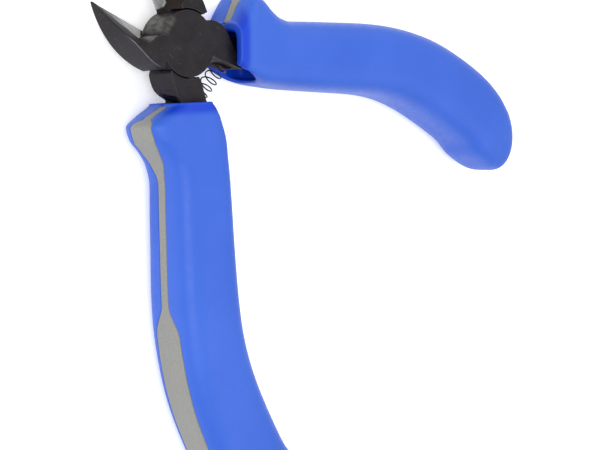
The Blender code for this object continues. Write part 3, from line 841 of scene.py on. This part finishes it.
def srgb(*values):
    """A colour for a shader from its usual 0 to 255 values."""
    linear = []
    for value in values:
        v = value / 255
        linear.append(v / 12.92 if v <= 0.04045 else ((v + 0.055) / 1.055) ** 2.4)
    return (*linear, 1.0)


# Each pair of colours is the two ends of a mottled surface.
STEEL = srgb(40, 37, 41), srgb(48, 45, 49)
STEEL_GRAIN = srgb(64, 61, 63)
STEEL_SCRATCH = srgb(118, 115, 116)
# Painted shade for the hollows at the jaw's root, the neck's end and under the heel
HOLLOW_SHADE = srgb(32, 22, 18)
FILED = srgb(62, 61, 60), srgb(110, 109, 105)
# Lighter edges: real wear and a painted edge highlight, golden where the painted shade lies
WORN_AND_HIGHLIGHT = srgb(142, 139, 141)
WORN_AND_HIGHLIGHT_IN_SHADE = srgb(150, 126, 92)
GROUND = srgb(166, 166, 166), srgb(198, 198, 198)
TANG_SHADE = srgb(12, 14, 34)
RIVET_STEEL = srgb(96, 95, 98), srgb(124, 123, 126)
WIRE = srgb(28, 27, 28), srgb(46, 45, 46)
BLUE = srgb(47, 88, 187), srgb(52, 93, 192)
# Painted shade in the mouth of the grip and round its rim
PAINTED_SHADE_BLUE = srgb(5, 54, 182)
GREY = srgb(121, 121, 118), srgb(132, 132, 128)
FLOOR = (0.93, 0.93, 0.93, 1), (0.95, 0.95, 0.95, 1)


class Nodes:
    """Short calls for wiring one material. Scales are per metre."""

    def __init__(self, name):
        self.material = bpy.data.materials.new(name)
        self.material.use_nodes = True
        self.tree = self.material.node_tree
        self.shader = self.tree.nodes["Principled BSDF"]
        self.place = self.tree.nodes.new("ShaderNodeTexCoord").outputs["Object"]

    def put(self, socket, value):
        if isinstance(value, bpy.types.NodeSocket):
            self.tree.links.new(value, socket)
        else:
            socket.default_value = value

    def noise(self, scale, detail=2.0, stretch=None, turn=0.0, roughness=0.5):
        place = self.place
        if stretch:
            mapping = self.tree.nodes.new("ShaderNodeMapping")
            self.put(mapping.inputs["Vector"], place)
            mapping.inputs["Rotation"].default_value = (0, 0, turn)
            mapping.inputs["Scale"].default_value = stretch
            place = mapping.outputs["Vector"]
        node = self.tree.nodes.new("ShaderNodeTexNoise")
        self.put(node.inputs["Vector"], place)
        node.inputs["Scale"].default_value = scale
        node.inputs["Detail"].default_value = detail
        node.inputs["Roughness"].default_value = roughness
        return node.outputs["Fac"]

    def band(self, value, low, high, to_low=0.0, to_high=1.0):
        node = self.tree.nodes.new("ShaderNodeMapRange")
        node.interpolation_type = "SMOOTHSTEP"
        self.put(node.inputs["Value"], value)
        for key, number in zip(("From Min", "From Max", "To Min", "To Max"), (low, high, to_low, to_high)):
            node.inputs[key].default_value = number
        return node.outputs["Result"]

    def math(self, operation, a, b=0.0):
        node = self.tree.nodes.new("ShaderNodeMath")
        node.operation = operation
        self.put(node.inputs[0], a)
        self.put(node.inputs[1], b)
        return node.outputs[0]

    def times(self, a, b):
        return self.math("MULTIPLY", a, b)

    def mix(self, factor, a, b):
        node = self.tree.nodes.new("ShaderNodeMix")
        node.data_type = "RGBA"
        self.put(node.inputs["Factor"], factor)
        self.put(node.inputs[6], a)
        self.put(node.inputs[7], b)
        return node.outputs[2]

    def mask(self, name):
        node = self.tree.nodes.new("ShaderNodeAttribute")
        node.attribute_name = name
        return node.outputs["Fac"]

    def bump(self, height, distance, strength, under=None):
        node = self.tree.nodes.new("ShaderNodeBump")
        node.inputs["Strength"].default_value = strength
        node.inputs["Distance"].default_value = distance
        self.put(node.inputs["Height"], height)
        if under is not None:
            self.put(node.inputs["Normal"], under)
        return node.outputs["Normal"]

    def finish(self, **sockets):
        for name, value in sockets.items():
            self.put(self.shader.inputs[name.replace("_", " ")], value)
        return self.material


def scratches(n, scale, turn, low, high):
    """Thin straight marks in one direction, here and there."""
    lines = n.noise(scale, detail=1.0, stretch=(1.0, 0.05, 1.0), turn=turn)
    patches = n.noise(330.0)
    return n.times(n.band(lines, low, high), n.band(patches, 0.5, 0.66))


def forged_material():
    """Black oxide with scratches, painted shade in the hollows and on the tang, a filed shoulder, worn edges with
    painted edge highlights and ground cutting bevels.
    """
    n = Nodes("forged_black")
    hollow, mask = n.mask("hollow"), n.mask("ground")
    cloud = n.noise(240.0, detail=4.0)
    grain = n.noise(4200.0, detail=4.0)
    base = n.mix(n.band(cloud, 0.32, 0.68), *STEEL)
    base = n.mix(n.times(n.band(grain, 0.48, 0.72), 0.4), base, STEEL_GRAIN)
    marks = n.math("MAXIMUM", scratches(n, 3600.0, 0.5, 0.66, 0.74), scratches(n, 4400.0, -0.3, 0.68, 0.75))
    nicks = n.band(n.noise(2400.0, detail=0.0), 0.80, 0.84)
    base = n.mix(n.times(n.math("MAXIMUM", marks, nicks), 0.3), base, STEEL_SCRATCH)
    # Painted shade in the hollows, brown-tinted
    base = n.mix(n.times(hollow, 0.85), base, HOLLOW_SHADE)
    streaks = n.noise(1300.0, detail=3.0, stretch=(1.0, 0.14, 0.5), turn=0.75)
    filed = n.mix(n.band(streaks, 0.3, 0.85), *FILED)
    base = n.mix(n.times(n.mask("shoulder"), 0.8), base, filed)
    # Worn edges and painted edge highlights, golden in the painted shade
    base = n.mix(n.times(n.mask("wear_and_highlight"), 0.6), base, n.mix(hollow, WORN_AND_HIGHLIGHT, WORN_AND_HIGHLIGHT_IN_SHADE))
    lines = n.noise(2600.0, stretch=(1.0, 0.08, 1.0), turn=0.36)
    base = n.mix(mask, base, n.mix(n.band(lines, 0.3, 0.7), *GROUND))
    # Painted shade on the tang
    base = n.mix(n.mask("tang"), base, TANG_SHADE)
    rough = n.band(cloud, 0.25, 0.75, 0.44, 0.56)
    rough = n.math("SUBTRACT", rough, n.times(mask, 0.1))
    # The painted shade is also made rougher and less metallic
    rough = n.math("ADD", rough, n.times(hollow, 0.35))
    metal = n.math("SUBTRACT", 0.8, n.math("MAXIMUM", n.times(mask, 0.45), n.times(hollow, 0.8)))
    normal = n.bump(n.noise(1500.0, detail=5.0), distance=0.00003, strength=0.4)
    normal = n.bump(n.times(marks, -1.0), distance=0.00002, strength=0.3, under=normal)
    return n.finish(Base_Color=base, Roughness=rough, Metallic=metal, Normal=normal, Specular_IOR_Level=0.25)


def rivet_material():
    n = Nodes("rivet_ground")
    rings = n.noise(3000.0)
    return n.finish(Base_Color=n.mix(n.band(rings, 0.3, 0.7), *RIVET_STEEL),
                    Roughness=n.band(rings, 0.3, 0.7, 0.32, 0.44), Metallic=0.9,
                    Normal=n.bump(n.noise(1800.0, detail=3.0), distance=0.00002, strength=0.4))


def spring_material():
    n = Nodes("spring_wire")
    return n.finish(Base_Color=n.mix(n.band(n.noise(1600.0, detail=3.0), 0.35, 0.7), *WIRE),
                    Roughness=0.38, Metallic=0.6, Normal=n.bump(n.noise(7000.0), distance=0.00001, strength=0.4))


def cover_material():
    n = Nodes("cover_blue")
    base = n.mix(n.band(n.noise(60.0, detail=3.0), 0.3, 0.7), *BLUE)
    # Painted shade in the mouth and round its rim
    base = n.mix(n.mask("inside"), base, PAINTED_SHADE_BLUE)
    rough = n.band(n.noise(900.0, detail=3.0), 0.3, 0.7, 0.40, 0.50)
    fine = n.bump(n.noise(4200.0, detail=3.0), distance=0.00002, strength=0.25)
    soft = n.bump(n.noise(160.0), distance=0.00012, strength=0.25, under=fine)
    return n.finish(Base_Color=base, Roughness=rough, Normal=soft, Specular_IOR_Level=0.25)


def inlay_material():
    n = Nodes("inlay_grey")
    speck = n.noise(2600.0, detail=4.0)
    return n.finish(Base_Color=n.mix(n.band(speck, 0.35, 0.7), *GREY),
                    Roughness=n.band(speck, 0.3, 0.7, 0.5, 0.62),
                    Normal=n.bump(speck, distance=0.00003, strength=0.5))


def floor_material():
    """White, with a little light of its own so that it stays white beside the tool."""
    n = Nodes("floor_pale")
    return n.finish(Base_Color=n.mix(n.band(n.noise(14.0, detail=3.0), 0.3, 0.7), *FLOOR), Roughness=0.8,
                    Emission_Color=(1, 1, 1, 1), Emission_Strength=0.3)


# ---- stage --------------------------------------------------------------------------------------------------


def camera():
    """Above the front face, on the left, with the jaws up and to the left."""
    data = bpy.data.cameras.new("camera")
    data.sensor_width = SENSOR
    data.lens = LENS
    data.clip_start = 0.01
    made = bpy.data.objects.new("camera", data)
    bpy.context.scene.collection.objects.link(made)
    right = Vector(CAMERA_RIGHT).normalized()
    back = right.cross(Vector(CAMERA_UP).normalized()).normalized()
    up = back.cross(right)
    turn = Matrix((right, up, back)).transposed().to_4x4()
    made.matrix_world = Matrix.Translation(CAMERA_PLACE) @ turn
    bpy.context.scene.camera = made


def area_light(name, place, size, power):
    """A rectangular light turned to the middle of the tool."""
    data = bpy.data.lights.new(name, "AREA")
    data.shape = "RECTANGLE"
    data.size, data.size_y = size
    data.energy = power
    made = bpy.data.objects.new(name, data)
    made.location = place
    middle = Vector((0.0, -0.04, 0.0))
    made.rotation_euler = (middle - Vector(place)).to_track_quat("-Z", "Y").to_euler()
    bpy.context.scene.collection.objects.link(made)


def world_light(strength):
    world = bpy.data.worlds.new("world")
    world.use_nodes = True
    background = world.node_tree.nodes["Background"]
    background.inputs["Color"].default_value = (1.0, 1.0, 1.0, 1)
    background.inputs["Strength"].default_value = strength
    bpy.context.scene.world = world


def stage():
    low = CAD_BOX[0][2] - 0.0002
    size = 1.2
    floor = new_object("floor", [(-size, -size, low), (size, -size, low), (size, size, low), (-size, size, low)],
                       [(0, 1, 2, 3)])
    floor.data.materials.append(floor_material())
    area_light("key", place=(-0.35, 0.25, 0.55), size=(0.5, 0.5), power=3.2)
    area_light("fill", place=(0.45, 0.1, 0.5), size=(0.6, 0.6), power=1.2)
    area_light("top", place=(0.0, -0.4, 0.6), size=(0.6, 0.4), power=1.2)
    world_light(0.72)
    bpy.context.scene.view_settings.view_transform = "Standard"


# ---- the pieces ---------------------------------------------------------------------------------------------


def dress(made, look, body, slot, *nodes):
    made.data.materials.clear()
    made.data.materials.append(look)
    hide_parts(*nodes)
    if body:
        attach(made, body)


def main():
    forged = forged_material()
    blue = cover_material()
    grey = inlay_material()
    dress(forged_half("forging_front", 1), forged, "front_half_body", "forged_steel", "front_half")
    dress(forged_half("forging_rear", -1), forged, "rear_half_body", "forged_steel", "rear_half")
    dress(rivet(), rivet_material(), "front_half_body", "rivet_steel", "pivot_rivet")
    coil, reach = spring()
    dress(coil, spring_material(), None, "spring_steel", "return_spring")
    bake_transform(coil)
    for label, side, body in (("front", 1, "front_half_body"), ("rear", -1, "rear_half_body")):
        dress(grip_cover("cover_" + label, side), blue, body, "blue_cover", "grip_cover_" + label)
        dress(grip_inlay("inlay_" + label, side), grey, body, "grey_core", "grip_core_" + label)
    camera()
    stage()


main()
bpy.context.view_layer.update()
